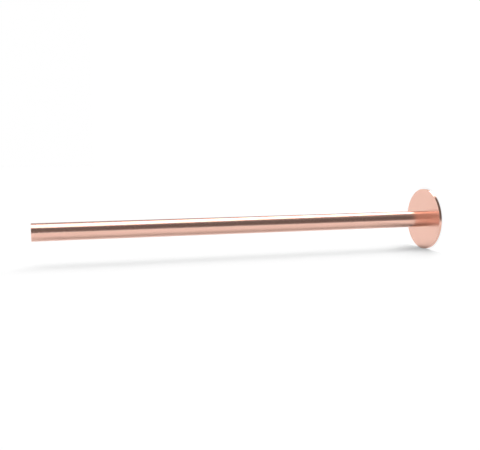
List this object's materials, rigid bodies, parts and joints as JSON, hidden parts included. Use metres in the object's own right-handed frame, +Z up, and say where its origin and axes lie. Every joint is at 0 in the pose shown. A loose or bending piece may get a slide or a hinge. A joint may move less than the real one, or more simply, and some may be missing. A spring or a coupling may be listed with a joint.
{
  "type": "copper pinch-off tube",
  "caption": "Straight bright copper tube brazed square through the centre of a flat round copper flange gasket, open at its free end, for evacuating a vessel and then pinching shut.",
  "frame": {"origin": "on the common axis of tube and gasket, in the gasket's far face, which stands on the floor", "axes": "+Z up along the tube, from the gasket to the free end; the part is round about it, so +X and +Y are any two directions across it"},
  "size_m": [0.048, 0.048, 0.3048],
  "materials": {
    "tube_copper": "bright drawn copper",
    "gasket_copper": "bright fine-turned copper"
  },
  "bodies": {
    "root": {"pinch_tube": "tube_copper", "gasket_disc": "gasket_copper"}
  },
  "joints": []
}
